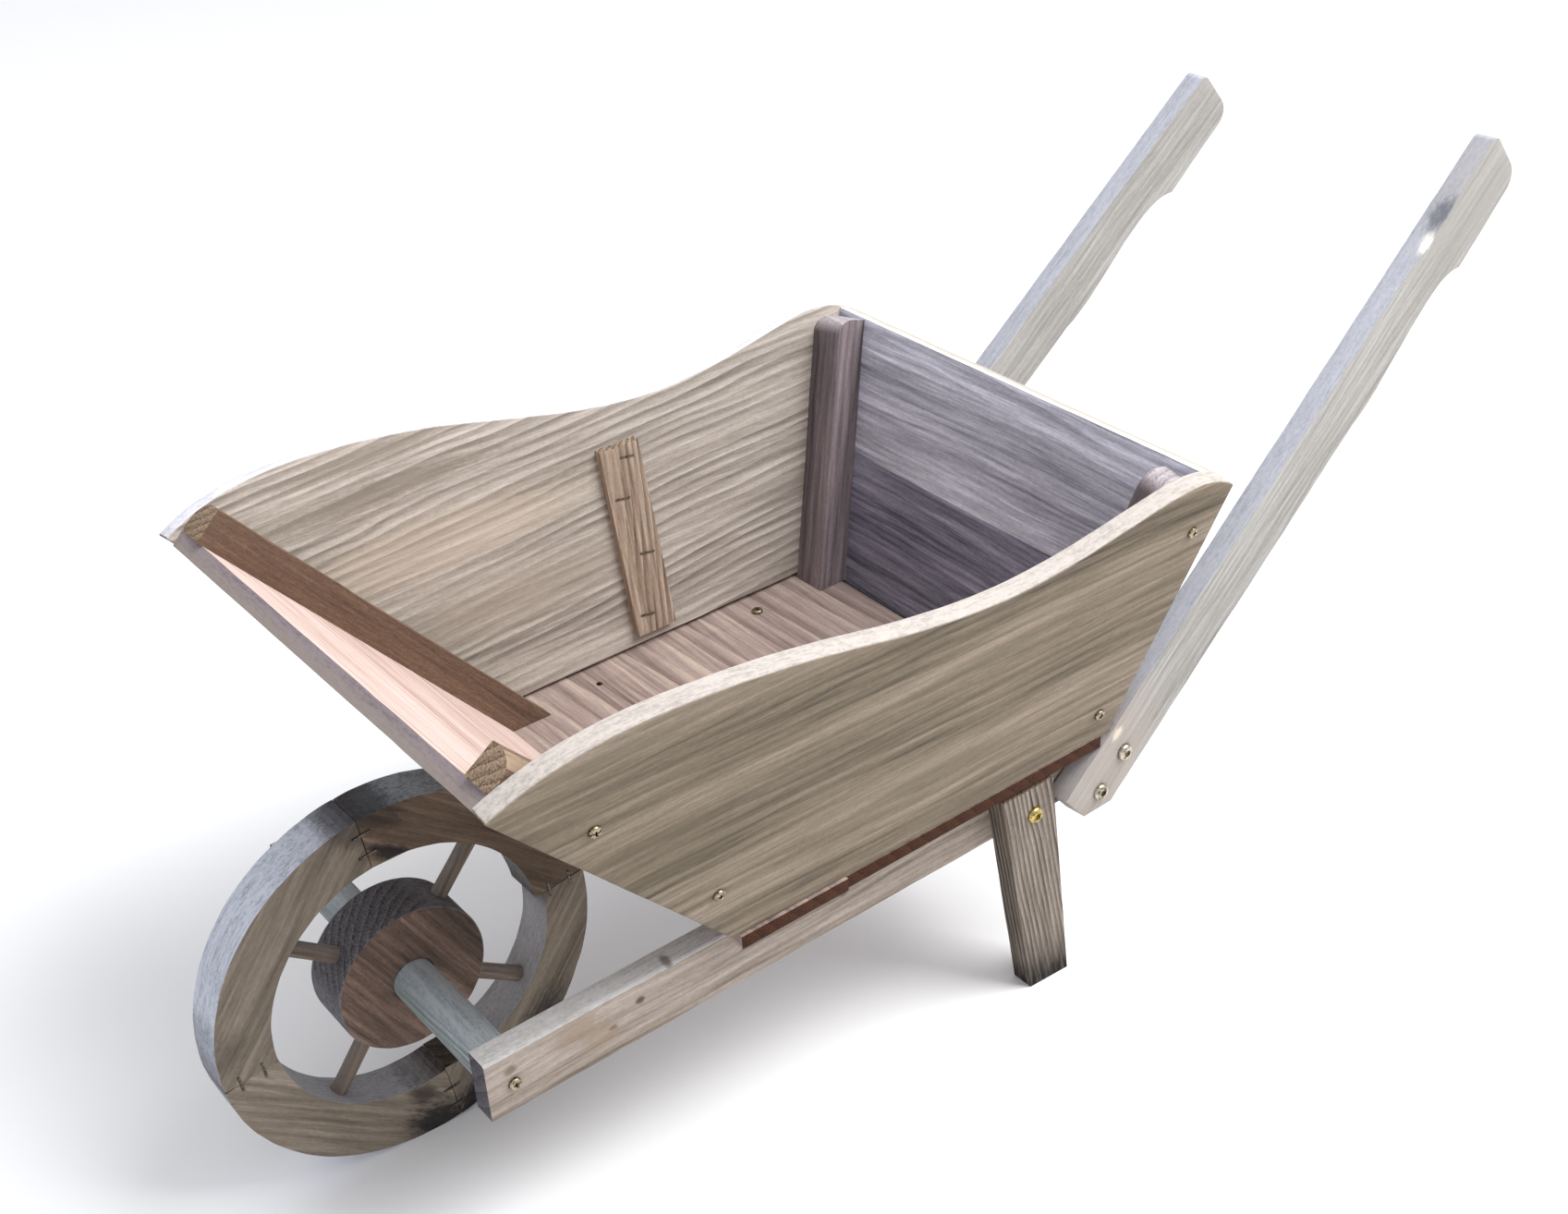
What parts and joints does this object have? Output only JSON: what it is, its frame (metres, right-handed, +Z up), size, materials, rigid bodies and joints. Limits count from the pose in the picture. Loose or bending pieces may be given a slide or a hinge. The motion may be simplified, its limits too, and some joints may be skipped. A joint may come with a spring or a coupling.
{
  "type": "garden wheelbarrow",
  "caption": "Small wooden wheelbarrow with a splayed open tray, curved sides, raised handles, short legs and a spoked wooden wheel that turns on a dowel axle.",
  "frame": {"origin": "on the ground, under the middle of the whole barrow", "axes": "+X forward, towards the wheel; +Y to the left side; +Z up, with the wheel and both feet on the ground"},
  "size_m": [0.843, 0.3446, 0.4505],
  "materials": {
    "side_boards": "matte",
    "front_board": "matte",
    "back_boards": "matte",
    "floor_boards": "matte",
    "battens": "matte",
    "cleats": "matte",
    "rails": "matte",
    "legs": "matte",
    "handles": "matte",
    "axle": "matte",
    "hub": "matte",
    "felloes": "matte",
    "spokes": "matte",
    "screws": "satin",
    "leg_bolts": "satin",
    "handle_bolts": "satin",
    "nuts": "satin",
    "staples": "satin"
  },
  "bodies": {
    "barrow": {"left_side_lower_board": "side_boards", "right_side_lower_board": "side_boards", "left_side_upper_board": "side_boards", "right_side_upper_board": "side_boards", "front_panel": "front_board", "back_lower_board": "back_boards", "back_upper_board": "back_boards", "floor_front_board": "floor_boards", "floor_rear_board": "floor_boards", "left_front_batten": "battens", "right_front_batten": "battens", "left_rear_batten": "battens", "right_rear_batten": "battens", "left_side_cleat": "cleats", "right_side_cleat": "cleats", "left_rail": "rails", "right_rail": "rails", "left_leg": "legs", "right_leg": "legs", "left_handle": "handles", "right_handle": "handles", "axle": "axle", "side_screws": "screws", "end_panel_screws": "screws", "floor_screws": "screws", "axle_screws": "screws", "leg_bolts": "leg_bolts", "handle_bolts": "handle_bolts", "nuts_and_washers": "nuts", "cleat_staples": "staples"},
    "wheel": {"hub": "hub", "felloe_1": "felloes", "felloe_2": "felloes", "felloe_3": "felloes", "felloe_4": "felloes", "spoke_1": "spokes", "spoke_2": "spokes", "spoke_3": "spokes", "spoke_4": "spokes", "rim_staples": "staples"}
  },
  "joints": [
    {"name": "wheel_spin", "type": "hinge", "parent": "barrow", "child": "wheel", "pos_m": [0.3115, 0.007, 0.11], "axis": [0, 1, 0], "continuous": true}
  ]
}
